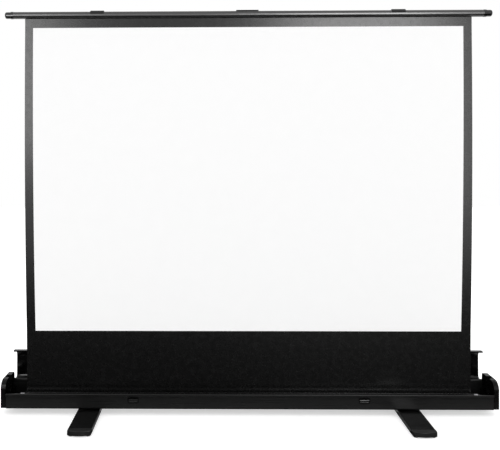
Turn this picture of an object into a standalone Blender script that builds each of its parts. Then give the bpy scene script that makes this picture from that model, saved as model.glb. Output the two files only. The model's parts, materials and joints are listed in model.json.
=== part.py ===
"""Floor-standing pull-up projection screen.

A spring roller in a low case feeds the viewing fabric up to a round top bar. A two-stage
scissor stands behind the fabric and carries the bar. The case has moulded end caps, a hinged
lid, two catches in its front wall and two feet that swivel under it.

Units are metres. +X is the viewer's right, the viewing side faces -Y and +Z is up. The origin
is on the floor, under the middle of the fabric. The screen is modelled raised, with the lid
open and the feet turned out.
"""

import math

import bmesh
import bpy
from mathutils import Matrix

# Gaps and cuts
seat_gap = 0.0003
running_gap = 0.0005
cut_overrun = 0.002
weld_distance = 0.00001
sharp_angle = math.radians(35)

# Sides of round pieces
bar_sides = 32
pin_sides = 14
corner_steps = 6

# Fabric
viewing_width = 1.626
viewing_height = 1.152
side_border = 0.0315
top_border = 0.0346
fabric_thickness = 0.0006
wraps_left = 0.0019

# Top bar
bar_height = 1.502
bar_radius = 0.0132
bar_wall = 0.0015
bar_slot_width = 0.0022
spline_radius = 0.004
bar_collar_radius = 0.0141
bar_collar_length = 0.0095
bar_tip_radius = 0.0126
bar_tip_length = 0.0215
bar_spigot_length = 0.015
bar_ring_groove = 0.0006
bar_end_gap = 0.0055

# Grip and bumpers on the bar
grip_length = 0.084
grip_rise = 0.0038
grip_reach = 0.026
grip_lip = 0.0032
grip_end_rise = 0.0012
grip_flat_share = 0.75
grip_front_angle = 115
grip_back_angle = -20
bumper_length = 0.050
bumper_thickness = 0.0035
bumper_inset = 0.319
clip_front_angle = 160
clip_gap_angle = 8

# Case
case_depth = 0.110
case_wall = 0.0025
case_corner = 0.006
front_wall_height = 0.057
rim_bead_height = 0.008
rim_bead_depth = 0.0025
rim_bead_round = 0.0022
case_side_room = 0.0632

# Lid and its hinge
lid_wall = 0.002
lid_front_round = 0.034
lid_back_round = 0.012
lid_lip = 0.006
lid_end_gap = 0.0005
lid_seat_gap = 0.0008
lid_open_angle = 92
lid_room = 0.0093
hinge_rise = 0.017
hinge_setback = 0.003
hinge_radius = 0.005
hinge_rod_radius = 0.002
hinge_knuckles = 9

# End caps
cap_thickness = 0.018
cap_wall = 0.003
cap_raise = 0.002
cap_bottom_round = 0.008
cap_edge_round = 0.006
cap_rib_depth = 0.010
cap_rib_wall = 0.0018
saddle_gap = 0.0019
saddle_wall = 0.0025
saddle_drop = 0.018

# Feet
foot_inset = 0.311
foot_width = 0.084
foot_height = 0.020
foot_half_length = 0.247
foot_wall = 0.002
foot_round = 0.003
foot_nose_length = 0.030
foot_nose_bow = 0.009
foot_nose_taper = 0.001
foot_nose_round = 0.0015
foot_spigot_length = 0.014
foot_pad_height = 0.004
foot_pad_radius = 0.008
foot_pad_inset = 0.012
foot_pad_setback = 0.018
foot_washer_radius = 0.030
foot_washer_thickness = 0.0024
foot_bolt_radius = 0.005
foot_bolt_head_radius = 0.010
foot_bolt_head_height = 0.0055
foot_nut_radius = 0.0095
foot_nut_height = 0.006
foot_bolt_tail = 0.002

# Catches in the front wall
latch_inset = 0.4775
latch_drop = 0.0215
latch_width = 0.038
latch_height = 0.022
latch_corner = 0.006
latch_flange = 0.002
latch_flange_thickness = 0.0012
latch_depth = 0.005
latch_wall = 0.0014
paddle_share = 0.58
paddle_thickness = 0.002
paddle_lip = 0.0012
paddle_gap = 0.0005
paddle_pin_radius = 0.0011
paddle_pin_height = 0.0032
paddle_pin_setback = 0.0012

# Scissor
arm_raised_angle = 59.4
arm_width = 0.020
arm_thickness = 0.004
arm_setback = 0.015
layer_gap = 0.002
fold_gap = 0.002
pin_radius = 0.004
pin_gap = 0.0003
pin_head_radius = 0.007
pin_head_thickness = 0.0016
pin_collar_radius = 0.006
button_radius = 0.0096
button_length = 0.008

# Rails and their hangers
rail_wall = 0.002
rail_play = 0.0006
rail_setback = 0.003
rail_slot_play = 0.001
rail_end_margin = 0.026
hanger_wall = 0.0025
hanger_rise = 0.003
hanger_width = 0.030
hanger_left_inset = 0.090
hanger_right_inset = 0.252
hanger_top_angle = 40
hanger_bottom_angle = -40

# Roller
tube_radius = 0.0195
tube_wall = 0.0012
tube_margin = 0.0155
roller_room = 0.0058
plug_length = 0.018
plug_flange = 0.003
roller_pin_radius = 0.004
bracket_standoff = 0.014
bracket_thickness = 0.0025
bracket_width = 0.030
bracket_foot = 0.014
spring_length = 0.360
spring_radius = 0.010
spring_wire_radius = 0.0011
spring_turns = 20
spring_points_per_turn = 8
shaft_collar_radius = 0.0125
shaft_collar_length = 0.010

# Heights and depths that follow from the sizes above
case_bottom = foot_height + foot_washer_thickness + 2 * seat_gap
case_floor = case_bottom + case_wall
front_rim = case_bottom + front_wall_height
case_front = -case_depth / 2
case_back = case_depth / 2
bead_front = case_front - rim_bead_depth
fabric_half_width = viewing_width / 2 + side_border
case_half_length = fabric_half_width + case_side_room
lid_half_length = case_half_length - lid_end_gap
hinge_y = case_back + hinge_setback
hinge_z = front_rim + hinge_rise
foot_x = case_half_length - foot_inset
latch_x = case_half_length - latch_inset

front_layer_y = arm_setback + arm_thickness / 2
back_layer_y = front_layer_y + arm_thickness + layer_gap
arms_back = back_layer_y + arm_thickness / 2
rail_front = arms_back + rail_setback
rail_inner_half = button_radius + rail_play
rail_half_height = rail_inner_half + rail_wall
rail_inner_depth = button_length + 2 * running_gap
rail_depth = rail_inner_depth + 2 * rail_wall
button_front = rail_front + rail_wall + running_gap
button_back = button_front + button_length

base_pivot_z = case_floor + seat_gap + rail_half_height
fold_pitch = arm_width + fold_gap
bar_over_pivot = rail_half_height + seat_gap + hanger_wall + hanger_rise
top_pivot_z = bar_height - bar_over_pivot
stage_height = (top_pivot_z - base_pivot_z) / 2
middle_pivot_z = base_pivot_z + stage_height
raised_angle = math.radians(arm_raised_angle)
arm_length = stage_height / math.sin(raised_angle)
folded_angle = math.asin(fold_pitch / arm_length)
half_span = arm_length * math.cos(raised_angle) / 2
folded_reach = arm_length * math.cos(folded_angle) - half_span
rail_left = -half_span - rail_end_margin
rail_right = folded_reach + rail_end_margin
hanger_left_x = rail_left + hanger_left_inset
hanger_right_x = rail_right - hanger_right_inset
lowered_bar = base_pivot_z + 2 * fold_pitch + bar_over_pivot

lid_top = lowered_bar + bar_radius + grip_rise + lid_room + lid_wall
cap_inner_x = case_half_length + seat_gap
bar_tip_x = cap_inner_x + cap_thickness - cap_wall - bar_end_gap
bar_half_length = bar_tip_x - bar_tip_length - bar_collar_length - seat_gap
bumper_x = bar_half_length - bumper_inset
clip_back_angle = hanger_top_angle + clip_gap_angle

wraps_radius = tube_radius + seat_gap + wraps_left
roller_y = -(wraps_radius + seat_gap + fabric_thickness / 2)
roller_z = case_floor + wraps_radius + roller_room
tube_half_length = fabric_half_width + tube_margin
bracket_inner = tube_half_length + bracket_standoff
spline_z = bar_wall - bar_radius + seat_gap + spline_radius
fabric_top = bar_height + spline_z - spline_radius - seat_gap
latch_z = front_rim - latch_drop

# Colours
black_plastic = (0.012, 0.012, 0.013)
black_anodised = (0.020, 0.021, 0.021)
dark_steel = (0.06, 0.06, 0.065)
plain_steel = (0.45, 0.45, 0.46)
plain_aluminium = (0.60, 0.60, 0.62)
white_fabric = (0.86, 0.86, 0.86)
black_fabric = (0.018, 0.018, 0.019)
pale_nylon = (0.70, 0.69, 0.66)
dark_rubber = (0.015, 0.015, 0.015)

for old in list(bpy.data.objects):
    bpy.data.objects.remove(old, do_unlink=True)

parts = bpy.data.collections.new("pull_up_projection_screen")
cutters = bpy.data.collections.new("cutters")
bpy.context.scene.collection.children.link(parts)
bpy.context.scene.collection.children.link(cutters)


# Materials
def make_material(name, colour, roughness, metallic=0.0):
    surface = bpy.data.materials.new(name)
    surface.use_nodes = True
    shader = surface.node_tree.nodes["Principled BSDF"]
    shader.inputs["Base Color"].default_value = (*colour, 1.0)
    shader.inputs["Roughness"].default_value = roughness
    shader.inputs["Metallic"].default_value = metallic
    surface.diffuse_color = (*colour, 1.0)
    return surface


moulded_black = make_material("moulded_black", black_plastic, 0.28)
extruded_black = make_material("extruded_black", black_anodised, 0.34)
painted_steel = make_material("painted_steel", dark_steel, 0.45, 0.6)
bright_steel = make_material("bright_steel", plain_steel, 0.30, 1.0)
raw_aluminium = make_material("raw_aluminium", plain_aluminium, 0.38, 1.0)
viewing_white = make_material("viewing_white", white_fabric, 0.85)
border_black = make_material("border_black", black_fabric, 0.40)
nylon = make_material("nylon", pale_nylon, 0.50)
rubber = make_material("rubber", dark_rubber, 0.70)


# Outlines
def arc(centre, radius, start, end, steps=corner_steps):
    """Points of an arc, with its angles in degrees from the first axis towards the second."""
    points = []
    for step in range(steps + 1):
        angle = math.radians(start + (end - start) * step / steps)
        points.append((centre[0] + radius * math.cos(angle), centre[1] + radius * math.sin(angle)))
    return points


def circle(centre, radius, sides=pin_sides):
    return arc(centre, radius, 0, 360, sides)[:-1]


def rectangle(left, right, bottom, top):
    return [(left, bottom), (right, bottom), (right, top), (left, top)]


def rounded_rectangle(left, right, bottom, top, radius, steps=4):
    outline = arc((right - radius, bottom + radius), radius, -90, 0, steps)
    outline += arc((right - radius, top - radius), radius, 0, 90, steps)
    outline += arc((left + radius, top - radius), radius, 90, 180, steps)
    outline += arc((left + radius, bottom + radius), radius, 180, 270, steps)
    return outline


# Meshes
def filled_mesh(name, loops, depth):
    """Fill closed outlines, holes included, and thicken them to depth along local Z."""
    curve = bpy.data.curves.new(name, "CURVE")
    curve.dimensions = "2D"
    curve.fill_mode = "BOTH"
    curve.extrude = depth / 2
    for loop in loops:
        spline = curve.splines.new("POLY")
        spline.points.add(len(loop) - 1)
        for point, (u, v) in zip(spline.points, loop):
            point.co = (u, v, 0, 1)
        spline.use_cyclic_u = True
    guide = bpy.data.objects.new(name, curve)
    bpy.context.scene.collection.objects.link(guide)
    bpy.context.view_layer.update()
    depsgraph = bpy.context.evaluated_depsgraph_get()
    mesh = bpy.data.meshes.new_from_object(guide.evaluated_get(depsgraph))
    bpy.data.objects.remove(guide, do_unlink=True)
    bpy.data.curves.remove(curve)
    work = bmesh.new()
    work.from_mesh(mesh)
    bmesh.ops.remove_doubles(work, verts=work.verts, dist=weld_distance)
    bmesh.ops.recalc_face_normals(work, faces=work.faces)
    work.to_mesh(mesh)
    work.free()
    return mesh


# An outline's two axes, and the way it is thickened, in the part's own axes
lay_along = {
    "X": Matrix(((0, 0, 1, 0), (1, 0, 0, 0), (0, 1, 0, 0), (0, 0, 0, 1))),
    "Y": Matrix(((1, 0, 0, 0), (0, 0, -1, 0), (0, 1, 0, 0), (0, 0, 0, 1))),
    "Z": Matrix.Identity(4),
}
spin_turn = {"X": (0, math.pi / 2, 0), "Y": (-math.pi / 2, 0, 0), "Z": (0, 0, 0)}


def link(name, data, surface, place):
    piece = bpy.data.objects.new(name, data)
    piece.location = place
    if surface is None:
        cutters.objects.link(piece)
        piece.hide_render = True
        piece.display_type = "WIRE"
    else:
        parts.objects.link(piece)
        if not data.materials:
            data.materials.append(surface)
    return piece


def smooth(mesh):
    mesh.shade_smooth()
    mesh.set_sharp_from_angle(angle=sharp_angle)


def extruded(name, axis, loops, start, end, surface, place=(0, 0, 0)):
    """Outlines in the plane across axis: (Y, Z) for X, (X, Z) for Y and (X, Y) for Z."""
    mesh = filled_mesh(name, loops, abs(end - start))
    mesh.transform(lay_along[axis])
    middle = [0, 0, 0]
    middle["XYZ".index(axis)] = (start + end) / 2
    mesh.transform(Matrix.Translation(middle))
    mesh.materials.clear()
    smooth(mesh)
    return link(name, mesh, surface, place)


def block(name, low, high, surface, place=(0, 0, 0)):
    work = bmesh.new()
    bmesh.ops.create_cube(work, size=1)
    size = [high[i] - low[i] for i in range(3)]
    middle = [(high[i] + low[i]) / 2 for i in range(3)]
    bmesh.ops.scale(work, vec=size, verts=work.verts)
    bmesh.ops.translate(work, vec=middle, verts=work.verts)
    mesh = bpy.data.meshes.new(name)
    work.to_mesh(mesh)
    work.free()
    return link(name, mesh, surface, place)


def rod(name, axis, radius, start, end, surface, place=(0, 0, 0), sides=pin_sides):
    work = bmesh.new()
    bmesh.ops.create_cone(
        work, cap_ends=True, segments=sides, radius1=radius, radius2=radius, depth=abs(end - start)
    )
    mesh = bpy.data.meshes.new(name)
    work.to_mesh(mesh)
    work.free()
    middle = [0, 0, 0]
    middle["XYZ".index(axis)] = (start + end) / 2
    mesh.transform(Matrix.Translation(middle) @ lay_along[axis])
    smooth(mesh)
    return link(name, mesh, surface, place)


def turned(name, axis, profile, surface, place=(0, 0, 0), closed=False, sides=pin_sides):
    """Spin (radius, height) points that run down the outer side from the top."""
    mesh = bpy.data.meshes.new(name)
    points = [(radius, 0, height) for radius, height in profile]
    edges = [(i, i + 1) for i in range(len(points) - 1)]
    if closed:
        edges.append((len(points) - 1, 0))
    mesh.from_pydata(points, edges, [])
    piece = link(name, mesh, surface, place)
    piece.rotation_euler = spin_turn[axis]
    screw = piece.modifiers.new("spin", "SCREW")
    screw.axis = "Z"
    screw.angle = 2 * math.pi
    screw.steps = sides
    screw.render_steps = sides
    screw.use_merge_vertices = True
    screw.merge_threshold = weld_distance
    return piece


def ring(name, axis, inner, outer, start, end, surface, place=(0, 0, 0), sides=pin_sides):
    profile = [(outer, end), (outer, start), (inner, start), (inner, end)]
    return turned(name, axis, profile, surface, place, closed=True, sides=sides)


# Joining, cutting and carrying
def combine(target, tool, operation):
    tool.parent = target
    change = target.modifiers.new(tool.name, "BOOLEAN")
    change.operation = operation
    change.solver = "EXACT"
    change.object = tool


def cut(target, tool):
    combine(target, tool, "DIFFERENCE")


def fuse(target, tool):
    combine(target, tool, "UNION")


def pivot(name, place):
    """An empty on a joint's axis, which carries the pieces that move on it."""
    empty = bpy.data.objects.new(name, None)
    empty.location = place
    empty.empty_display_size = arm_width
    parts.objects.link(empty)
    return empty


def carry(holder, *pieces):
    for piece in pieces:
        piece.parent = holder
        piece.location = piece.location - holder.location


# Places along the hinge, shared by the case's knuckles and the lid's
def hinge_spans(first):
    span = 2 * case_half_length / hinge_knuckles
    spans = []
    for number in range(first, hinge_knuckles, 2):
        start = -case_half_length + number * span
        spans.append((start, start + span))
    return spans


def make_case():
    inner_round = case_corner - case_wall
    front_in = case_front + case_wall
    back_in = case_back - case_wall
    outer_front = case_front + case_corner
    outer_back = case_back - case_corner
    corner_z = case_bottom + case_corner
    bead_centre = (bead_front + rim_bead_round, front_rim - rim_bead_round)
    bead_foot = (bead_front + rim_bead_round, front_rim - rim_bead_height + rim_bead_round)
    outline = [(front_in, front_rim)]
    outline += arc(bead_centre, rim_bead_round, 90, 180, 4)
    outline += arc(bead_foot, rim_bead_round, 180, 270, 4)
    outline += [(case_front, front_rim - rim_bead_height)]
    outline += arc((outer_front, corner_z), case_corner, 180, 270, 4)
    outline += arc((outer_back, corner_z), case_corner, 270, 360, 4)
    outline += [(case_back, hinge_z), (back_in, hinge_z)]
    outline += arc((outer_back, corner_z), inner_round, 360, 270, 4)
    outline += arc((outer_front, corner_z), inner_round, 270, 180, 4)
    case = extruded("case_body", "X", [outline], -case_half_length, case_half_length, extruded_black)

    barrel = circle((hinge_y, hinge_z), hinge_radius)
    for number, (start, end) in enumerate(hinge_spans(0)):
        fuse(case, extruded(f"case_knuckle_{number}", "X", [barrel], start, end, None))
    notch_half = hinge_radius + running_gap
    for number, (start, end) in enumerate(hinge_spans(1)):
        low = (start - running_gap, back_in - cut_overrun, hinge_z - notch_half)
        high = (end + running_gap, hinge_y + notch_half, hinge_z + notch_half)
        cut(case, block(f"case_notch_{number}", low, high, None))
    bore_half = case_half_length + cut_overrun
    place = (0, hinge_y, hinge_z)
    bore = hinge_rod_radius + pin_gap
    cut(case, rod("case_hinge_bore", "X", bore, -bore_half, bore_half, None, place, sides=12))

    low_cut = case_bottom - cut_overrun
    high_cut = case_floor + cut_overrun
    for side, word in ((-1, "left"), (1, "right")):
        hole = foot_bolt_radius + pin_gap
        tool = rod(f"case_bolt_hole_{word}", "Z", hole, low_cut, high_cut, None, (side * foot_x, 0, 0))
        cut(case, tool)
        window = rounded_rectangle(
            -latch_width / 2, latch_width / 2, -latch_height / 2, latch_height / 2, latch_corner
        )
        back = case_front + case_wall + cut_overrun
        place = (side * latch_x, 0, latch_z)
        cut(case, extruded(f"case_latch_hole_{word}", "Y", [window], bead_front, back, None, place))


def cap_outline(inset):
    """The end cap's side view, drawn in by inset all round."""
    front = bead_front + inset
    back = hinge_y - inset
    bottom = case_bottom + cap_raise + inset
    top = lid_top - inset
    low = cap_bottom_round - inset
    front_top = lid_front_round - inset
    back_top = lid_back_round - inset
    outline = arc((front + low, bottom + low), low, 180, 270)
    outline += arc((back - low, bottom + low), low, 270, 360)
    outline += arc((back - back_top, top - back_top), back_top, 0, 90)
    outline += arc((front + front_top, top - front_top), front_top, 90, 180, 8)
    return outline


def saddle_outline(radius, top):
    """A trough open at the top for the end of the lowered bar, with room below it."""
    outline = arc((0, lowered_bar - saddle_drop), radius, 180, 360, 10)
    return outline + [(radius, top), (-radius, top)]


def make_end_cap(side, word):
    def across(start, end):
        return sorted((side * start, side * end))

    inner = cap_inner_x
    outer = cap_inner_x + cap_thickness
    floor = outer - cap_wall
    cap = extruded(f"end_cap_{word}", "X", [cap_outline(0)], *across(inner, outer), moulded_black)
    work = bmesh.new()
    work.from_mesh(cap.data)
    rim = [
        edge for edge in work.edges
        if all(abs(abs(vert.co.x) - outer) < weld_distance for vert in edge.verts)
        and len({face.normal.to_tuple(2) for face in edge.link_faces}) == 2
    ]
    bmesh.ops.bevel(
        work, geom=rim, offset=cap_edge_round, segments=3, profile=0.5, affect="EDGES",
        clamp_overlap=True,
    )
    work.to_mesh(cap.data)
    work.free()
    smooth(cap.data)

    hollow = across(inner - cut_overrun, floor)
    cut(cap, extruded(f"cap_hollow_{word}", "X", [cap_outline(cap_wall)], *hollow, None))
    saddle = saddle_outline(bar_radius + saddle_gap + saddle_wall, lid_top - cap_wall / 2)
    fuse(cap, extruded(f"cap_saddle_{word}", "X", [saddle], *across(inner, floor + cap_wall / 2), None))

    rib_front = case_front + case_wall + seat_gap
    rib_back = -rib_front
    rib_bottom = case_floor + seat_gap
    rib_top = front_rim - rim_bead_height
    rib_outer = case_corner - case_wall - seat_gap
    rib_inner = rib_outer - cap_rib_wall
    corner_z = rib_bottom + rib_outer
    rib = [(rib_front, rib_top)]
    rib += arc((rib_front + rib_outer, corner_z), rib_outer, 180, 270, 3)
    rib += arc((rib_back - rib_outer, corner_z), rib_outer, 270, 360, 3)
    rib += [(rib_back, rib_top), (rib_back - cap_rib_wall, rib_top)]
    rib += arc((rib_back - rib_outer, corner_z), rib_inner, 360, 270, 3)
    rib += arc((rib_front + rib_outer, corner_z), rib_inner, 270, 180, 3)
    rib += [(rib_front + cap_rib_wall, rib_top)]
    reach = across(inner - cap_rib_depth, floor + cap_wall / 2)
    fuse(cap, extruded(f"cap_rib_{word}", "X", [rib], *reach, None))

    pocket = saddle_outline(bar_radius + saddle_gap, lid_top + cut_overrun)
    depth = across(inner - cut_overrun, floor)
    cut(cap, extruded(f"cap_pocket_{word}", "X", [pocket], *depth, None))


def make_lid():
    """Drawn closed, from the hinge line, then turned open on it."""
    top = lid_top - hinge_z
    front = bead_front - hinge_y
    skirt = front_rim + lid_seat_gap - hinge_z
    back_out = lid_wall / 2
    back_in = -lid_wall / 2
    back_foot = hinge_radius + running_gap
    back_centre = (back_out - lid_back_round, top - lid_back_round)
    front_centre = (front + lid_front_round, top - lid_front_round)
    outline = [(back_in, back_foot), (back_out, back_foot)]
    outline += arc(back_centre, lid_back_round, 0, 90)
    outline += arc(front_centre, lid_front_round, 90, 180, 8)
    outline += [(front, skirt), (front + lid_lip, skirt), (front + lid_lip, skirt + lid_wall)]
    outline += [(front + lid_wall, skirt + lid_wall)]
    outline += arc(front_centre, lid_front_round - lid_wall, 180, 90, 8)
    outline += arc(back_centre, lid_back_round - lid_wall, 90, 0)
    place = (0, hinge_y, hinge_z)
    lid = extruded("lid", "X", [outline], -lid_half_length, lid_half_length, extruded_black, place)
    barrel = circle((0, 0), hinge_radius)
    tab = rectangle(back_in, back_out, 0, back_foot + lid_wall)
    for number, (start, end) in enumerate(hinge_spans(1)):
        start += running_gap
        end -= running_gap
        fuse(lid, extruded(f"lid_knuckle_{number}", "X", [barrel], start, end, None))
        fuse(lid, extruded(f"lid_tab_{number}", "X", [tab], start, end, None))
    bore_half = lid_half_length + cut_overrun
    bore = hinge_rod_radius + pin_gap
    cut(lid, rod("lid_hinge_bore", "X", bore, -bore_half, bore_half, None, sides=12))
    lid.rotation_euler = (-math.radians(lid_open_angle), 0, 0)
    rod(
        "lid_hinge_rod", "X", hinge_rod_radius, -lid_half_length, lid_half_length, bright_steel,
        place, sides=12,
    )


def make_foot(side, word):
    half_width = foot_width / 2
    holder = pivot(f"foot_pivot_{word}", (side * foot_x, 0, 0))
    beam_half = foot_half_length - foot_nose_length
    inner_half = half_width - foot_wall
    shoulder = foot_height - foot_round
    section = [(-half_width, foot_pad_height)]
    section += arc((-half_width + foot_round, shoulder), foot_round, 180, 90, 3)
    section += arc((half_width - foot_round, shoulder), foot_round, 90, 0, 3)
    section += [(half_width, foot_pad_height), (inner_half, foot_pad_height)]
    section += [(inner_half, foot_height - foot_wall), (-inner_half, foot_height - foot_wall)]
    section += [(-inner_half, foot_pad_height)]
    place = (side * foot_x, 0, 0)
    beam = extruded(f"foot_beam_{word}", "Y", [section], -beam_half, beam_half, extruded_black, place)
    hole = foot_bolt_radius + pin_gap
    cut(beam, rod(f"foot_hole_{word}", "Z", hole, 0, foot_height + cut_overrun, None))
    noses = [make_foot_nose(end, name, word, place) for end, name in ((-1, "front"), (1, "back"))]
    carry(holder, beam, *noses)

    washer_bottom = foot_height + seat_gap
    washer_top = washer_bottom + foot_washer_thickness
    ring(
        f"foot_washer_{word}", "Z", hole, foot_washer_radius, washer_bottom, washer_top, nylon,
        place, sides=bar_sides,
    )
    head_top = foot_height - foot_wall - seat_gap
    head_bottom = head_top - foot_bolt_head_height
    nut_bottom = case_floor + seat_gap
    nut_top = nut_bottom + foot_nut_height
    shank_top = nut_top + foot_bolt_tail
    bolt = [(0, shank_top), (foot_bolt_radius, shank_top), (foot_bolt_radius, head_top)]
    bolt += [(foot_bolt_head_radius, head_top), (foot_bolt_head_radius, head_bottom), (0, head_bottom)]
    turned(f"foot_bolt_{word}", "Z", bolt, bright_steel, place)
    hexagon = arc((0, 0), foot_nut_radius, 0, 360, 6)[:-1]
    bore = circle((0, 0), foot_bolt_radius + pin_gap)
    extruded(f"foot_nut_{word}", "Z", [hexagon, bore], nut_bottom, nut_top, bright_steel, place)


def make_foot_nose(end, name, word, place):
    """The moulded end of a foot, bowed outwards in plan, with a spigot and two pads."""
    half_width = foot_width / 2
    tip_half = half_width - foot_nose_taper
    root = foot_half_length - foot_nose_length + seat_gap
    shoulder = foot_half_length - foot_nose_bow
    bow_radius = (tip_half ** 2 + foot_nose_bow ** 2) / (2 * foot_nose_bow)
    half_angle = math.degrees(math.asin(tip_half / bow_radius))
    bow = arc((0, foot_half_length - bow_radius), bow_radius, 90 - half_angle, 90 + half_angle, 8)
    plan = [(-half_width, root), (half_width, root), (tip_half, shoulder)]
    plan += bow[1:-1] + [(-tip_half, shoulder)]
    plan = [(u, end * v) for u, v in plan]
    nose = extruded(
        f"foot_nose_{name}_{word}", "Z", [plan], foot_pad_height, foot_height, moulded_black, place
    )
    soften = nose.modifiers.new("soft_edges", "BEVEL")
    soften.width = foot_nose_round
    soften.segments = 2
    soften.limit_method = "ANGLE"
    soften.angle_limit = sharp_angle
    spigot_half = half_width - foot_wall - seat_gap
    y_span = sorted((end * (root - foot_spigot_length), end * (root + foot_nose_bow)))
    low = (-spigot_half, y_span[0], foot_pad_height + foot_nose_round)
    high = (spigot_half, y_span[1], foot_height - foot_wall - seat_gap)
    fuse(nose, block(f"nose_spigot_{name}_{word}", low, high, None))
    pad_y = end * (foot_half_length - foot_pad_setback)
    pad_top = foot_pad_height + 2 * foot_nose_round
    for pad_side in (-1, 1):
        spot = (pad_side * (half_width - foot_pad_inset), pad_y, 0)
        tool = rod(f"nose_pad_{name}_{word}_{pad_side}", "Z", foot_pad_radius, 0, pad_top, None, spot)
        fuse(nose, tool)
    return nose


def make_latch(side, word):
    """A moulded cup in the front wall, with a finger paddle hinged at its foot."""
    place = (side * latch_x, 0, latch_z)
    half_width = latch_width / 2 - seat_gap
    half_height = latch_height / 2 - seat_gap
    corner = latch_corner - seat_gap
    body = rounded_rectangle(-half_width, half_width, -half_height, half_height, corner)
    face = case_front - seat_gap - latch_flange_thickness
    back = case_front + latch_depth
    cup = extruded(f"latch_cup_{word}", "Y", [body], face, back, moulded_black, place)
    flange = rounded_rectangle(
        -half_width - latch_flange, half_width + latch_flange,
        -half_height - latch_flange, half_height + latch_flange, corner + latch_flange,
    )
    flange_back = case_front - seat_gap
    fuse(cup, extruded(f"cup_flange_{word}", "Y", [flange], face, flange_back, None))
    room_width = half_width - latch_wall
    room_height = half_height - latch_wall
    room_back = back - latch_wall
    room = rounded_rectangle(
        -room_width, room_width, -room_height, room_height, corner - latch_wall
    )
    cut(cup, extruded(f"cup_room_{word}", "Y", [room], face - cut_overrun, room_back, None))

    pin_z = -room_height + paddle_pin_height
    pin_y = room_back - paddle_gap - paddle_thickness / 2 - paddle_pin_setback
    pin_reach = room_width + latch_wall / 2
    bore = paddle_pin_radius + pin_gap
    bore_reach = room_width + latch_wall - seat_gap
    tool = rod(
        f"cup_pin_bore_{word}", "X", bore, -bore_reach, bore_reach, None, (0, pin_y, pin_z), sides=12
    )
    cut(cup, tool)

    holder = pivot(f"latch_pivot_{word}", (side * latch_x, pin_y, latch_z + pin_z))
    half = room_width - paddle_gap
    foot = paddle_gap - paddle_pin_height
    top = foot + paddle_share * 2 * room_height
    turn = corner - latch_wall - paddle_gap
    shape = arc((turn - half, foot + turn), turn, 180, 270)
    shape += arc((half - turn, foot + turn), turn, 270, 360)
    shape += [(half, top), (-half, top)]
    front = -paddle_thickness / 2
    paddle = extruded(f"latch_paddle_{word}", "Y", [shape], front, -front, moulded_black)
    paddle.location = holder.location
    lip_place = (0, front, top - paddle_lip)
    fuse(paddle, rod(f"paddle_lip_{word}", "X", paddle_lip, -half, half, None, lip_place))
    fuse(paddle, rod(f"paddle_pins_{word}", "X", paddle_pin_radius, -pin_reach, pin_reach, None, sides=12))
    carry(holder, paddle)


def make_fabric():
    half_white = viewing_width / 2
    white_top = bar_height - bar_radius - top_border
    white_bottom = white_top - viewing_height
    half = fabric_thickness / 2
    low = (-fabric_half_width, -half, roller_z)
    high = (fabric_half_width, half, fabric_top)
    fabric = block("screen_fabric", low, high, viewing_white)
    fabric.data.materials.append(border_black)
    work = bmesh.new()
    work.from_mesh(fabric.data)
    lines = [((x, 0, 0), (1, 0, 0)) for x in (-half_white, half_white)]
    lines += [((0, 0, z), (0, 0, 1)) for z in (white_bottom, white_top)]
    for point, normal in lines:
        everything = work.verts[:] + work.edges[:] + work.faces[:]
        bmesh.ops.bisect_plane(work, geom=everything, plane_co=point, plane_no=normal)
    for face in work.faces:
        middle = face.calc_center_median()
        on_front = middle.y < -half / 2
        in_width = abs(middle.x) < half_white
        in_height = white_bottom < middle.z < white_top
        face.material_index = 0 if on_front and in_width and in_height else 1
    work.to_mesh(fabric.data)
    work.free()


def make_bar():
    holder = pivot("bar_carrier", (0, front_layer_y, top_pivot_z))
    place = (0, 0, bar_height)
    half_slot = math.degrees(math.asin(bar_slot_width / 2 / bar_radius))
    bore_radius = bar_radius - bar_wall
    inner_slot = math.degrees(math.asin(bar_slot_width / 2 / bore_radius))
    section = arc((0, 0), bar_radius, -90 + half_slot, 270 - half_slot, bar_sides)
    section += arc((0, 0), bore_radius, 270 - inner_slot, -90 + inner_slot, bar_sides)
    bar = extruded("top_bar", "X", [section], -bar_half_length, bar_half_length, extruded_black, place)
    spline = rod(
        "fabric_spline", "X", spline_radius, -fabric_half_width, fabric_half_width, nylon,
        (0, 0, bar_height + spline_z), sides=12,
    )
    caps = [make_bar_cap(side, word, place) for side, word in ((-1, "left"), (1, "right"))]
    grip = make_grip(place)
    bumpers = []
    for side, word in ((-1, "left"), (1, "right")):
        inner = bar_radius + seat_gap
        outer = inner + bumper_thickness
        clip = arc((0, 0), outer, clip_back_angle, clip_front_angle, 16)
        clip += arc((0, 0), inner, clip_front_angle, clip_back_angle, 16)
        start = side * bumper_x - bumper_length / 2
        end = side * bumper_x + bumper_length / 2
        bumpers.append(extruded(f"bar_bumper_{word}", "X", [clip], start, end, rubber, place))
    carry(holder, bar, spline, grip, *caps, *bumpers)
    return holder


def make_bar_cap(side, word, place):
    """A domed plug with a raised collar, turned about the bar's axis."""
    start = bar_half_length + seat_gap
    collar_end = start + bar_collar_length
    end = collar_end + bar_tip_length
    spigot = bar_radius - bar_wall - seat_gap
    dome = bar_tip_radius / 2
    profile = [(0, end)]
    for step in range(1, 6):
        turn = math.radians(90 * step / 5)
        radius = bar_tip_radius - dome + dome * math.sin(turn)
        profile.append((radius, end - dome + dome * math.cos(turn)))
    profile.append((bar_tip_radius, collar_end + bar_ring_groove))
    profile.append((bar_tip_radius - bar_ring_groove, collar_end + bar_ring_groove))
    profile.append((bar_tip_radius - bar_ring_groove, collar_end))
    profile.append((bar_collar_radius - bar_ring_groove, collar_end))
    profile.append((bar_collar_radius, collar_end - bar_ring_groove))
    profile.append((bar_collar_radius, start))
    profile.append((spigot, start))
    profile.append((spigot, start - bar_spigot_length))
    profile.append((0, start - bar_spigot_length))
    cap = turned(f"bar_cap_{word}", "X", profile, moulded_black, place, sides=20)
    if side < 0:
        cap.rotation_euler = (0, -math.pi / 2, 0)
    return cap


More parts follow.
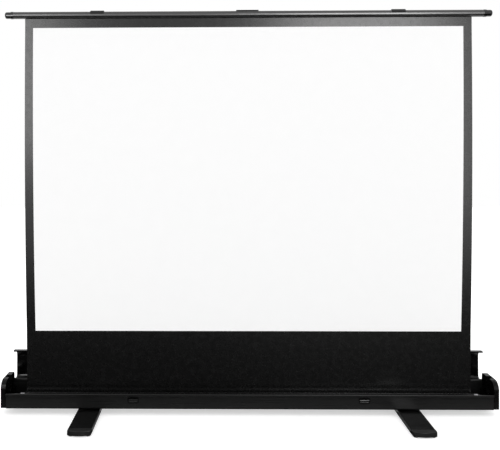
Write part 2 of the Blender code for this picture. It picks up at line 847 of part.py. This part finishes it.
def make_grip(place):
    """A saddle over the bar with a finger lip behind it."""
    inner = bar_radius + seat_gap
    outer = bar_radius + grip_rise
    lip_top = outer - grip_lip
    lip_bottom = lip_top - grip_lip
    section = arc((0, 0), inner, grip_front_angle, grip_back_angle, 14)
    section += arc((0, 0), outer, grip_back_angle, math.degrees(math.asin(lip_bottom / outer)), 5)
    section += [(grip_reach, lip_bottom)]
    section += [(grip_reach, lip_top), (outer * grip_flat_share, outer)]
    section += arc((0, 0), outer, 90, grip_front_angle, 3)
    half = grip_length / 2
    grip = extruded("pull_grip", "X", [section], -half, half, moulded_black, place)
    ramp_top = outer + cut_overrun
    ramp_bottom = bar_radius + grip_end_rise
    for side in (-1, 1):
        ramp_end = side * (half + cut_overrun)
        ramp = [(ramp_end, ramp_top), (ramp_end, ramp_bottom), (side * (half - grip_rise), ramp_top)]
        reach = grip_reach + cut_overrun
        cut(grip, extruded(f"grip_ramp_{side}", "Y", [ramp], -reach, reach, None))
    return grip


def make_rails():
    """One channel on the case floor and one hung from the bar, both open to the front."""
    back = rail_front + rail_depth
    slot_half = pin_radius + rail_slot_play
    lip_back = rail_front + rail_wall
    inside_back = back - rail_wall
    section = [
        (rail_front, slot_half), (rail_front, rail_half_height), (back, rail_half_height),
        (back, -rail_half_height), (rail_front, -rail_half_height), (rail_front, -slot_half),
        (lip_back, -slot_half), (lip_back, -rail_inner_half), (inside_back, -rail_inner_half),
        (inside_back, rail_inner_half), (lip_back, rail_inner_half), (lip_back, slot_half),
    ]
    extruded("base_rail", "X", [section], rail_left, rail_right, raw_aluminium, (0, 0, base_pivot_z))
    top = extruded("top_rail", "X", [section], rail_left, rail_right, raw_aluminium, (0, 0, top_pivot_z))

    inner = bar_radius + seat_gap
    outer = inner + hanger_wall
    tab_bottom = rail_half_height + seat_gap - bar_over_pivot
    tab_top = tab_bottom + hanger_wall
    strap = arc((0, 0), inner, hanger_top_angle, hanger_bottom_angle, 8)
    strap += arc((0, 0), outer, hanger_bottom_angle, math.degrees(math.asin(tab_bottom / outer)), 3)
    strap += [(back, tab_bottom), (back, tab_top)]
    strap += arc((0, 0), outer, math.degrees(math.asin(tab_top / outer)), hanger_top_angle, 5)
    half = hanger_width / 2
    hangers = []
    for x, word in ((hanger_left_x, "left"), (hanger_right_x, "right")):
        place = (x, 0, bar_height)
        hangers.append(extruded(f"rail_hanger_{word}", "X", [strap], -half, half, painted_steel, place))
    return [top] + hangers


def make_arm(name, layer_y, axis_x, start, holder_name, turn, holder_place):
    """A flat bar with round ends and three holes, drawn along +X from start on its joint's axis."""
    end_radius = arm_width / 2
    centres = (start, start + arm_length / 2, start + arm_length)
    outline = arc((centres[0], 0), end_radius, 90, 270, 8)
    outline += arc((centres[2], 0), end_radius, -90, 90, 8)
    holes = [circle((centre, 0), pin_radius + pin_gap) for centre in centres]
    half = arm_thickness / 2
    arm = extruded(name, "Y", [outline] + holes, -half, half, painted_steel)
    arm.location = (axis_x, layer_y, holder_place)
    arm.rotation_euler = (0, turn, 0)
    holder = pivot(holder_name, arm.location)
    carry(holder, arm)
    return holder


def make_rivet(name, x, z):
    """A shouldered rivet through both layers of arms, headed at the front and the back."""
    front = arm_setback
    head_front = front - seat_gap - pin_head_thickness
    gap_front = front + arm_thickness + seat_gap
    gap_back = front + arm_thickness + layer_gap - seat_gap
    back = arms_back + seat_gap
    tail = back + pin_head_thickness
    profile = [
        (0, tail), (pin_head_radius, tail), (pin_head_radius, back), (pin_radius, back),
        (pin_radius, gap_back), (pin_head_radius, gap_back), (pin_head_radius, gap_front),
        (pin_radius, gap_front), (pin_radius, front - seat_gap), (pin_head_radius, front - seat_gap),
        (pin_head_radius, head_front), (0, head_front),
    ]
    return turned(name, "Y", profile, bright_steel, (x, 0, z))


def end_pin_profile(layer_y, block_radius):
    """A pin from an arm's front face back into a rail, with a collar that spaces the arm."""
    arm_front = layer_y - arm_thickness / 2
    arm_back = layer_y + arm_thickness / 2
    collar_end = rail_front - seat_gap
    inside_end = rail_front + rail_depth - rail_wall - seat_gap
    head_end = arm_front - seat_gap
    head_front = head_end - layer_gap + 2 * seat_gap
    profile = [(0, inside_end), (block_radius, inside_end)]
    if block_radius > pin_radius:
        profile += [(block_radius, button_front), (pin_radius, button_front)]
    profile += [
        (pin_radius, collar_end), (pin_collar_radius, collar_end),
        (pin_collar_radius, arm_back + seat_gap), (pin_radius, arm_back + seat_gap),
        (pin_radius, head_end), (pin_head_radius, head_end), (pin_head_radius, head_front),
        (0, head_front),
    ]
    return profile


def make_button(name, x, z):
    inner = pin_radius + pin_gap
    return ring(name, "Y", inner, button_radius, button_front, button_back, nylon, (x, 0, z))


def make_scissor(bar_holder, bar_pieces):
    lower_cross = (0, base_pivot_z + stage_height / 2)
    upper_cross = (0, middle_pivot_z + stage_height / 2)

    lower_front = make_arm(
        "lower_front_arm", front_layer_y, -half_span, 0, "lift_pivot", -raised_angle, base_pivot_z
    )
    carry(lower_front, make_rivet("lower_cross_rivet", *lower_cross))
    carry(lower_front, make_rivet("middle_right_rivet", half_span, middle_pivot_z))

    lower_back = make_arm(
        "lower_back_arm", back_layer_y, 0, -arm_length / 2, "lower_cross_pivot", raised_angle,
        lower_cross[1],
    )
    carry(lower_back, make_rivet("middle_left_rivet", -half_span, middle_pivot_z))
    place = (half_span, 0, base_pivot_z)
    pin = turned("base_slide_pin", "Y", end_pin_profile(back_layer_y, pin_radius), bright_steel, place)
    carry(lower_back, pin, make_button("base_slide_button", half_span, base_pivot_z))

    upper_back = make_arm(
        "upper_back_arm", back_layer_y, half_span, -arm_length, "middle_right_pivot", raised_angle,
        middle_pivot_z,
    )
    carry(upper_back, make_rivet("upper_cross_rivet", *upper_cross))

    upper_front = make_arm(
        "upper_front_arm", front_layer_y, 0, -arm_length / 2, "upper_cross_pivot", -raised_angle,
        upper_cross[1],
    )
    place = (half_span, 0, top_pivot_z)
    pin = turned("top_slide_pin", "Y", end_pin_profile(front_layer_y, pin_radius), bright_steel, place)
    carry(upper_front, pin, make_button("top_slide_button", half_span, top_pivot_z))

    block_radius = button_radius
    place = (-half_span, 0, base_pivot_z)
    turned("base_pivot_stud", "Y", end_pin_profile(front_layer_y, block_radius), bright_steel, place)
    place = (-half_span, 0, top_pivot_z)
    stud = turned("top_pivot_stud", "Y", end_pin_profile(back_layer_y, block_radius), bright_steel, place)
    carry(bar_holder, stud, *bar_pieces)


def make_roller():
    holder = pivot("roller_axis", (0, roller_y, roller_z))
    place = (0, roller_y, roller_z)
    bore = tube_radius - tube_wall
    tube = ring(
        "roller_tube", "X", bore, tube_radius, -tube_half_length, tube_half_length, raw_aluminium,
        place, sides=bar_sides,
    )
    wraps = ring(
        "fabric_wraps", "X", tube_radius + seat_gap, wraps_radius, -fabric_half_width,
        fabric_half_width, border_black, place, sides=bar_sides,
    )
    spigot = bore - seat_gap
    flange_start = tube_half_length + seat_gap
    flange_end = flange_start + plug_flange
    pin_end = bracket_inner + 2 * bracket_thickness
    idler = turned(
        "roller_idler_plug", "X",
        [
            (0, pin_end), (roller_pin_radius, pin_end), (roller_pin_radius, flange_end),
            (tube_radius, flange_end), (tube_radius, flange_start), (spigot, flange_start),
            (spigot, flange_start - plug_length), (0, flange_start - plug_length),
        ],
        moulded_black, place, sides=24,
    )
    idler.rotation_euler = (0, -math.pi / 2, 0)
    shaft_bore = roller_pin_radius + pin_gap
    plug = turned(
        "roller_spring_plug", "X",
        [
            (shaft_bore, flange_end), (tube_radius, flange_end), (tube_radius, flange_start),
            (spigot, flange_start), (spigot, flange_start - plug_length),
            (shaft_bore, flange_start - plug_length),
        ],
        moulded_black, place, closed=True, sides=24,
    )
    carry(holder, tube, wraps, idler, plug)

    spring_end = flange_start - plug_length - seat_gap
    spring_start = spring_end - spring_length
    collar_start = spring_start - seat_gap - shaft_collar_length
    turned(
        "spring_shaft", "X",
        [
            (0, pin_end), (roller_pin_radius, pin_end), (roller_pin_radius, spring_start - seat_gap),
            (shaft_collar_radius, spring_start - seat_gap), (shaft_collar_radius, collar_start),
            (0, collar_start),
        ],
        bright_steel, place,
    )
    make_spring(spring_start + spring_wire_radius, spring_end - spring_wire_radius, place)
    for side, word in ((-1, "left"), (1, "right")):
        make_bracket(side, word)


def make_spring(start, end, place):
    """An open coil round the fixed shaft, which winds up as the fabric comes off the tube."""
    curve = bpy.data.curves.new("roller_spring", "CURVE")
    curve.dimensions = "3D"
    curve.bevel_depth = spring_wire_radius
    curve.bevel_resolution = 0
    curve.use_fill_caps = True
    count = spring_turns * spring_points_per_turn
    spline = curve.splines.new("POLY")
    spline.points.add(count)
    for number, point in enumerate(spline.points):
        turn = 2 * math.pi * number / spring_points_per_turn
        x = start + (end - start) * number / count
        point.co = (x, spring_radius * math.cos(turn), spring_radius * math.sin(turn), 1)
    link("roller_spring", curve, bright_steel, place)


def make_bracket(side, word):
    """An upright plate with a round head, bent out at its foot and seated on the case floor."""
    half = bracket_width / 2
    floor = case_floor + seat_gap - roller_z
    plate = arc((0, 0), half, 0, 180, 12) + [(-half, floor), (half, floor)]
    bore = circle((0, 0), roller_pin_radius + pin_gap)
    span = sorted((side * bracket_inner, side * (bracket_inner + bracket_thickness)))
    place = (0, roller_y, roller_z)
    bracket = extruded(f"roller_bracket_{word}", "X", [plate, bore], *span, painted_steel, place)
    foot_span = sorted((side * bracket_inner, side * (bracket_inner + bracket_foot)))
    low = (foot_span[0], -half, floor)
    high = (foot_span[1], half, floor + bracket_thickness)
    fuse(bracket, block(f"bracket_foot_{word}", low, high, None))


make_case()
for side, word in ((-1, "left"), (1, "right")):
    make_end_cap(side, word)
    make_foot(side, word)
    make_latch(side, word)
make_lid()
make_fabric()
make_roller()
bar_carrier = make_bar()
make_scissor(bar_carrier, make_rails())
bpy.context.view_layer.update()
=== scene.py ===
"""Looks of the pull-up projection screen: fabric, materials, floor, lamps and camera.

Metres, in the part's own axes: +X to the viewer's right, -Y towards the viewer, +Z up.
"""

import json
import math

import bmesh
import bpy
from mathutils import Euler, Matrix, Vector


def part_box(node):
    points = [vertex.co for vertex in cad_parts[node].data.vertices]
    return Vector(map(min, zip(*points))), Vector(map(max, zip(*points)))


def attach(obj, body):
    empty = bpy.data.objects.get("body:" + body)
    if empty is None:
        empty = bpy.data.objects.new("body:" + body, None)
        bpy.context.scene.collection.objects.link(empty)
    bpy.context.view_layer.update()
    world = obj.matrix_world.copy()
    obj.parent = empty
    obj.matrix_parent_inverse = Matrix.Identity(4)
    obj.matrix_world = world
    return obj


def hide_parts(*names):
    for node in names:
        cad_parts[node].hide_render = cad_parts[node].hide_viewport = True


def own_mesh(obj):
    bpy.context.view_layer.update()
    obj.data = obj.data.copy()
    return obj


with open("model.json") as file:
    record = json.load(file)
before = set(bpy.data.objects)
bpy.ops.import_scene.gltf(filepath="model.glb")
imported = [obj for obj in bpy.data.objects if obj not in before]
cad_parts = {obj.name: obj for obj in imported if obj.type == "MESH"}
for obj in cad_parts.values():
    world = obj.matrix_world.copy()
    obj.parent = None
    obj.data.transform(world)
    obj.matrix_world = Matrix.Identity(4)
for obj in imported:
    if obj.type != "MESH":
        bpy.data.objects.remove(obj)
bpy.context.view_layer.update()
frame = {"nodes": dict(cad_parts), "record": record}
nodes = frame["nodes"]

# Camera
frame_width = 500
frame_height = 450
focal_pixels = 660.7
sensor_width = 36.0
centre_column = 202.9
centre_row = 159.7
camera_place = (-0.133, -2.504, 0.986)
camera_pitch = math.radians(0.74)
camera_yaw = math.radians(0.82)
camera_roll = math.radians(-0.12)

# Viewing fabric
fabric_thickness = 0.0006
top_border = 0.0346
white_height = 1.152
border_left_top = 0.0305
border_left_bottom = 0.0338
border_right_top = 0.0315
border_right_bottom = 0.0362
edge_bulge = 0.004
drop_rows = 6
white_rows = 30
top_rows = 3
row_slack = 1e-6
border_columns = 2
white_columns = 44
white_slot = 0
black_slot = 1

# Its wander out of flat. Each wave: radians a metre along X, the same along Z, offset, share
ripple = 0.0011
waves = [
    (4.1, 1.3, 0.0, 0.6),
    (9.3, -2.1, 0.7, 0.4),
]

# Fabric left on the roller
roll_turns = 3
roll_steps = 40
roll_gap = 0.0001
sharp_angle = math.radians(40)

# Colours
white_surface = (0.94, 0.94, 0.94)
black_vinyl = (0.0012, 0.0012, 0.0012)
black_moulding = (0.0020, 0.0020, 0.0020)
black_anodised = (0.0032, 0.0033, 0.0033)
# Painted shade: the lid is a darker copy of the anodised black, standing in for the shade on its
# face
lid_painted_shade = (0.0014, 0.0014, 0.0014)
# Painted light: the foot noses are a lighter copy of the moulded black, standing in for the
# reflection on their faces
foot_nose_painted_light = (0.011, 0.011, 0.011)
black_paint = (0.010, 0.010, 0.0105)
zinc = (0.46, 0.46, 0.47)
aluminium = (0.60, 0.60, 0.62)
pale_nylon = (0.62, 0.61, 0.57)
dark_rubber = (0.010, 0.010, 0.010)

# Noises. Each: size of its lumps, detail, and a share below 1 where it is drawn out along X
die_lines = (0.0009, 4.0, 0.006)
noise_low = 0.3
noise_high = 0.7

# Finishes. Each: gloss noise, tone noise, darkest and lightest share, relief noise, its height
finishes = {
    "moulded": ((0.012, 2.0), (0.03, 2.0), (0.8, 1.25), (0.0012, 3.0), 0.00004),
    "drawn": ((0.004, 3.0, 0.02), die_lines, (0.82, 1.15), die_lines, 0.00003),
    "painted": ((0.010, 2.0), (0.04, 2.0), (0.8, 1.25), (0.0014, 3.0), 0.00005),
    "plated": ((0.003, 4.0), (0.006, 3.0), (0.8, 1.1), (0.0008, 3.0), 0.00003),
    "nylon": ((0.005, 2.0), (0.010, 2.0), (0.92, 1.05), (0.0010, 2.0), 0.00003),
    "rubber": ((0.004, 2.0), (0.008, 2.0), (0.8, 1.3), (0.0006, 4.0), 0.00005),
    "vinyl": ((0.02, 3.0), (0.03, 2.0), (0.85, 1.2), (0.0011, 3.0), 0.000015),
    "matt_cloth": (None, (0.05, 3.0), (0.992, 1.0), (0.0009, 3.0), 0.00003),
}
relief_strength = 1.0

# Materials. Each: name, colour, finish, roughness, the range it sways in, metallic, specular
looks = {
    "plastic": ("moulded_black", black_moulding, "moulded", 0.22, (0.22, 0.32), 0.0, 0.12),
    "glossy_plastic": (
        "moulded_black_glossy", black_moulding, "moulded", 0.10, (0.10, 0.16), 0.0, 0.60
    ),
    # Painted light: lighter moulded black on the foot noses
    "foot_plastic_painted_light": ("moulded_black_feet_painted_light", foot_nose_painted_light, "moulded", 0.30, (0.30, 0.40), 0.0, 0.30),
    "black_metal": ("anodised_black", black_anodised, "drawn", 0.26, (0.26, 0.36), 0.0, 0.30),
    "bar_metal": ("anodised_black_bar", black_anodised, "drawn", 0.26, (0.26, 0.34), 0.0, 1.0),
    # Painted shade: darker anodised black on the lid
    "lid_metal_painted_shade": ("anodised_black_lid_painted_shade", lid_painted_shade, "drawn", 0.12, (0.12, 0.16), 0.0, 0.30),
    "foot_metal": ("anodised_black_feet", black_anodised, "drawn", 0.16, (0.16, 0.24), 0.0, 0.10),
    "bare_metal": ("mill_aluminium", aluminium, "drawn", 0.30, (0.30, 0.44), 1.0, 0.5),
    "paint": ("painted_steel", black_paint, "painted", 0.42, (0.38, 0.50), 0.0, 0.45),
    "steel": ("zinc_plated", zinc, "plated", 0.30, (0.24, 0.42), 1.0, 0.5),
    "nylon": ("natural_nylon", pale_nylon, "nylon", 0.48, (0.42, 0.56), 0.0, 0.5),
    "rubber": ("matte_rubber", dark_rubber, "rubber", 0.72, (0.66, 0.80), 0.0, 0.35),
    "white_cloth": ("viewing_white", white_surface, "matt_cloth", 0.86, None, 0.0, 0.2),
    "black_cloth": ("border_black", black_vinyl, "vinyl", 0.26, (0.24, 0.29), 0.0, 0.42),
}
slot_look = {
    "moulded_black": "plastic",
    "black_aluminium": "black_metal",
    "painted_steel": "paint",
    "bright_steel": "steel",
    "raw_aluminium": "bare_metal",
    "screen_fabric": "white_cloth",
    "border_fabric": "black_cloth",
    "nylon": "nylon",
    "rubber": "rubber",
}
node_look = {
    "top_bar": "bar_metal",
    "lid": "lid_metal_painted_shade",
    "bar_cap_left": "glossy_plastic",
    "bar_cap_right": "glossy_plastic",
    "latch_paddle_left": "glossy_plastic",
    "latch_paddle_right": "glossy_plastic",
    "foot_nose_front_left": "foot_plastic_painted_light",
    "foot_nose_front_right": "foot_plastic_painted_light",
    "foot_nose_back_left": "foot_plastic_painted_light",
    "foot_nose_back_right": "foot_plastic_painted_light",
    "foot_beam_left": "foot_metal",
    "foot_beam_right": "foot_metal",
}

# Floor, and the cards above it that only reflections see. Each card: name, near, far, colour
stage_roughness = 0.9
floor_half = 9.0
floor_colour = (0.80, 0.80, 0.80)
floor_tone_share = 0.99
floor_noise = (0.4, 3.0)
floor_lift = 0.50
card_half = 3.2
card_height = 0.004
card_specular = 0.1
card_tone_share = 0.9
card_noise = (0.3, 2.0)
cards = [
    ("dark_card", -2.9, -0.19, (0.002, 0.002, 0.002)),
    ("grey_card", -0.19, -0.02, (0.50, 0.50, 0.50)),
]

# The room, as it lights the scene and as it is seen
world_fill = 1.15
world_seen = 1.0

# Lamps. Each: name, place, point it faces, width and height, watts, whether it lights matt things
lamps = [
    ("left_panel", (-1.85, -2.9, 1.65), (-0.4, 0, 1.1), (0.8, 1.5), 31, False),
    ("right_panel", (1.05, -2.9, 1.40), (0.3, 0, 1.0), (1.25, 1.7), 70, False),
    ("back_fill", (0.0, 3.0, 2.6), (0, 0, 0.6), (2.4, 1.2), 12, True),
]


class Surface:
    """One material, with short calls for adding and joining its nodes."""

    def __init__(self, name, colour, roughness, metallic, specular):
        self.material = bpy.data.materials.new(name)
        self.material.use_nodes = True
        self.tree = self.material.node_tree
        self.shader = self.tree.nodes["Principled BSDF"]
        self.shader.inputs["Base Color"].default_value = (*colour, 1.0)
        self.shader.inputs["Roughness"].default_value = roughness
        self.shader.inputs["Metallic"].default_value = metallic
        self.shader.inputs["Specular IOR Level"].default_value = specular
        self.material.diffuse_color = (*colour, 1.0)
        self.place = self.add("ShaderNodeTexCoord").outputs["Object"]

    def add(self, kind, **inputs):
        node = self.tree.nodes.new(kind)
        for name, value in inputs.items():
            node.inputs[name.replace("_", " ")].default_value = value
        return node

    def join(self, source, socket):
        self.tree.links.new(source, socket)

    def noise(self, size, detail, line_share=1):
        """Noise whose lumps are about size metres across, drawn out along X by a small share."""
        stretch = self.add("ShaderNodeMapping", Scale=(line_share / size, 1 / size, 1 / size))
        node = self.add("ShaderNodeTexNoise", Scale=1.0, Detail=detail)
        self.join(self.place, stretch.inputs["Vector"])
        self.join(stretch.outputs["Vector"], node.inputs["Vector"])
        return node.outputs["Fac"]

    def tones(self, value, low, high):
        """Colours between low and high, as the noise says."""
        node = self.tree.nodes.new("ShaderNodeValToRGB")
        ends = node.color_ramp.elements
        for end, position, colour in ((ends[0], noise_low, low), (ends[1], noise_high, high)):
            end.position = position
            end.color = (*colour, 1.0)
        self.join(value, node.inputs["Fac"])
        self.join(node.outputs["Color"], self.shader.inputs["Base Color"])

    def gloss(self, value, low, high):
        """Roughness between low and high, as the noise says."""
        node = self.add(
            "ShaderNodeMapRange", From_Min=noise_low, From_Max=noise_high, To_Min=low, To_Max=high
        )
        self.join(value, node.inputs["Value"])
        self.join(node.outputs["Result"], self.shader.inputs["Roughness"])

    def relief(self, value, height):
        """Fine relief, height metres from its lowest to its highest."""
        node = self.add("ShaderNodeBump", Strength=relief_strength, Distance=height)
        self.join(value, node.inputs["Height"])
        self.join(node.outputs["Normal"], self.shader.inputs["Normal"])


def shade(colour, share):
    return tuple(channel * share for channel in colour)


def make_material(name, colour, finish, roughness, roughness_range, metallic, specular):
    """A material whose tone, gloss and fine relief sway with noise."""
    gloss_noise, tone_noise, tone_shares, relief_noise, relief_height = finishes[finish]
    darkest, lightest = tone_shares
    surface = Surface(name, colour, roughness, metallic, specular)
    surface.tones(surface.noise(*tone_noise), shade(colour, darkest), shade(colour, lightest))
    surface.relief(surface.noise(*relief_noise), relief_height)
    if gloss_noise:
        surface.gloss(surface.noise(*gloss_noise), *roughness_range)
    return surface.material


def dress_nodes():
    """Gives each solid the material of its node, or else that of its slot."""
    for row in frame["record"]["subparts"]:
        look = node_look.get(row["node"], slot_look[row["material_slot"]])
        data = nodes[row["node"]].data
        data.materials.clear()
        data.materials.append(materials[look])


def add_object(name, data):
    piece = bpy.data.objects.new(name, data)
    bpy.context.scene.collection.objects.link(piece)
    return piece


def mesh_piece(name, work, piece_materials, body):
    """A smooth piece with sharp corners, riding on a body."""
    bmesh.ops.recalc_face_normals(work, faces=work.faces)
    data = bpy.data.meshes.new(name)
    work.to_mesh(data)
    work.free()
    for material in piece_materials:
        data.materials.append(material)
    data.shade_smooth()
    data.set_sharp_from_angle(angle=sharp_angle)
    piece = add_object(name, data)
    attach(piece, body)
    return piece


def spaced(start, end, count):
    """The ends of count equal steps from start to end."""
    return [start + (end - start) * step / count for step in range(count + 1)]


def make_fabric():
    """One sheet from the roller to the bar, white in front and black round it and behind."""
    low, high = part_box("screen_fabric")
    bottom, top = low.z, high.z
    half = (high.x - low.x) / 2
    middle = (low.y + high.y) / 2
    white_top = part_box("top_bar")[0].z - top_border
    white_bottom = white_top - white_height
    heights = spaced(bottom, white_bottom, drop_rows)
    heights += spaced(white_bottom, white_top, white_rows)[1:]
    heights += spaced(white_top, top, top_rows)[1:]

    def columns(z):
        """Places along X at height z. The sides bow out beside the white."""
        share = (z - white_bottom) / (white_top - white_bottom)
        bow = edge_bulge * max(0.0, 1 - (2 * share - 1) ** 2) - edge_bulge / 2
        share = min(1.0, max(0.0, share))
        left = border_left_bottom + (border_left_top - border_left_bottom) * share
        right = border_right_bottom + (border_right_top - border_right_bottom) * share
        if z > white_top or z < white_bottom:
            bow = -edge_bulge / 2
        outer_left = -half - bow
        outer_right = half + bow
        line = spaced(outer_left, outer_left + left, border_columns)
        line += spaced(outer_left + left, outer_right - right, white_columns)[1:]
        line += spaced(outer_right - right, outer_right, border_columns)[1:]
        return line

    def depth(x, z):
        """A slight wander out of flat, none at the bar and the roller."""
        hold = math.sin(math.pi * (z - bottom) / (top - bottom))
        wander = 0
        for along, up, offset, share in waves:
            wander += share * math.sin(along * x + up * z + offset)
        return ripple * hold * wander

    work = bmesh.new()

    def add_face(corners, slot):
        face = work.faces.new(corners)
        face.material_index = slot

    sides = []
    for offset in (-fabric_thickness / 2, fabric_thickness / 2):
        grid = []
        for z in heights:
            places = [(x, middle + depth(x, z) + offset, z) for x in columns(z)]
            grid.append([work.verts.new(place) for place in places])
        sides.append(grid)
    front, back = sides
    last_column = len(front[0]) - 1
    last_row = len(heights) - 1
    for row in range(last_row):
        above_drop = heights[row] > white_bottom - row_slack
        below_top = heights[row + 1] < white_top + row_slack
        for column in range(last_column):
            inside_sides = border_columns <= column < last_column - border_columns
            white = above_drop and below_top and inside_sides
            add_face((
                front[row][column], front[row][column + 1],
                front[row + 1][column + 1], front[row + 1][column],
            ), white_slot if white else black_slot)
            add_face((
                back[row][column], back[row + 1][column],
                back[row + 1][column + 1], back[row][column + 1],
            ), black_slot)
    rim = [(0, column) for column in range(last_column)]
    rim += [(row, last_column) for row in range(last_row)]
    rim += [(last_row, column) for column in range(last_column, 0, -1)]
    rim += [(row, 0) for row in range(last_row, 0, -1)]
    for (row, column), (next_row, next_column) in zip(rim, rim[1:] + rim[:1]):
        add_face((
            front[row][column], back[row][column],
            back[next_row][next_column], front[next_row][next_column],
        ), black_slot)
    cloths = (materials["white_cloth"], materials["black_cloth"])
    fabric = mesh_piece("viewing_fabric", work, cloths, "housing")
    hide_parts("screen_fabric")
    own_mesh(fabric)


def make_roll():
    """The turns of black fabric left on the roller, wound as one spiral."""
    low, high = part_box("fabric_wraps")
    tube_low, tube_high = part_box("roller_tube")
    centre = Vector((0, (low.y + high.y) / 2, (low.z + high.z) / 2))
    outer = (high.z - low.z) / 2
    inner = (tube_high.z - tube_low.z) / 2
    half = fabric_thickness / 2
    start = inner + half + roll_gap
    end = outer - half
    count = roll_turns * roll_steps
    loops = []
    work = bmesh.new()
    for step in range(count + 1):
        turn = -2 * math.pi * (count - step) / roll_steps
        radius = start + (end - start) * step / count
        direction = Vector((0, math.cos(turn), math.sin(turn)))
        middle = centre + direction * radius
        ring = []
        for x, side in ((low.x, -half), (low.x, half), (high.x, half), (high.x, -half)):
            ring.append(work.verts.new(Vector((x, 0, 0)) + middle + direction * side))
        loops.append(ring)
    for one, two in zip(loops, loops[1:]):
        for number in range(len(one)):
            after = (number + 1) % len(one)
            work.faces.new((one[number], one[after], two[after], two[number]))
    work.faces.new(loops[0])
    work.faces.new(loops[-1])
    roll = mesh_piece("rolled_fabric", work, (materials["black_cloth"],), "roller")
    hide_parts("fabric_wraps")


def stage_plane(name, half, near, far, height, surface):
    """A flat rectangle of the stage, which isn't part of the object."""
    corners = [(-half, near), (half, near), (half, far), (-half, far)]
    data = bpy.data.meshes.new(name)
    data.from_pydata([(x, y, height) for x, y in corners], [], [range(len(corners))])
    data.materials.append(surface.material)
    piece = add_object(name, data)
    return piece


def seen_directly(tree):
    """One for rays of the camera, of reflections and through glass, and nothing for the rest."""
    path = tree.nodes.new("ShaderNodeLightPath")
    total = path.outputs["Is Camera Ray"]
    for kind in ("Is Glossy Ray", "Is Transmission Ray"):
        larger = tree.nodes.new("ShaderNodeMath")
        larger.operation = "MAXIMUM"
        tree.links.new(total, larger.inputs[0])
        tree.links.new(path.outputs[kind], larger.inputs[1])
        total = larger.outputs[0]
    return total


def make_floor():
    """A pale floor that the camera and reflections see as white, apart from the shadow on it."""
    surface = Surface("pale_floor", floor_colour, stage_roughness, 0.0, 0.0)
    surface.tones(surface.noise(*floor_noise), shade(floor_colour, floor_tone_share), floor_colour)
    surface.shader.inputs["Emission Color"].default_value = (1, 1, 1, 1)
    lift = surface.add("ShaderNodeMath")
    lift.operation = "MULTIPLY"
    lift.inputs[1].default_value = floor_lift
    surface.join(seen_directly(surface.tree), lift.inputs[0])
    surface.join(lift.outputs[0], surface.shader.inputs["Emission Strength"])
    stage_plane("floor", floor_half, -floor_half, floor_half, 0, surface)


def add_card(name, near, far, colour):
    """A card just above the floor that shows in reflections only."""
    surface = Surface(name, colour, stage_roughness, 0.0, card_specular)
    surface.tones(surface.noise(*card_noise), shade(colour, card_tone_share), colour)
    card = stage_plane(name, card_half, near, far, card_height, surface)
    card.visible_camera = False
    card.visible_diffuse = False
    card.visible_shadow = False


def make_room():
    """A white room, seen at one strength and lighting matt surfaces at another."""
    world = bpy.data.worlds.new("white_room")
    bpy.context.scene.world = world
    world.use_nodes = True
    tree = world.node_tree
    tree.nodes.clear()
    mix = tree.nodes.new("ShaderNodeMixShader")
    out = tree.nodes.new("ShaderNodeOutputWorld")
    tree.links.new(seen_directly(tree), mix.inputs["Fac"])
    for socket, strength in ((1, world_fill), (2, world_seen)):
        light = tree.nodes.new("ShaderNodeBackground")
        light.inputs["Color"].default_value = (1, 1, 1, 1)
        light.inputs["Strength"].default_value = strength
        tree.links.new(light.outputs[0], mix.inputs[socket])
    tree.links.new(mix.outputs[0], out.inputs["Surface"])


def add_lamp(name, place, target, size, power, lights_matt):
    """An area lamp. A panel that only shows as sheen leaves matt surfaces to the white room."""
    data = bpy.data.lights.new(name, "AREA")
    data.shape = "RECTANGLE"
    data.size, data.size_y = size
    data.energy = power
    lamp = add_object(name, data)
    lamp.location = place
    aim = Vector(target) - Vector(place)
    lamp.rotation_euler = aim.to_track_quat("-Z", "Y").to_euler()
    lamp.visible_diffuse = lights_matt


def make_camera():
    """The camera where the photograph was taken from, with the photograph's own centre."""
    data = bpy.data.cameras.new("camera")
    data.sensor_width = sensor_width
    data.lens = focal_pixels * sensor_width / frame_width
    data.shift_x = (frame_width / 2 - centre_column) / frame_width
    data.shift_y = (centre_row - frame_height / 2) / frame_width
    camera = add_object("camera", data)
    camera.location = camera_place
    aim = Euler((math.pi / 2 - camera_pitch, 0, camera_yaw)).to_matrix()
    camera.rotation_euler = (aim @ Matrix.Rotation(camera_roll, 3, "Z")).to_euler()
    bpy.context.scene.camera = camera


materials = {look: make_material(*row) for look, row in looks.items()}
dress_nodes()
make_fabric()
make_roll()
make_floor()
for card in cards:
    add_card(*card)
make_room()
for lamp in lamps:
    add_lamp(*lamp)
make_camera()
bpy.context.scene.view_settings.view_transform = "Standard"
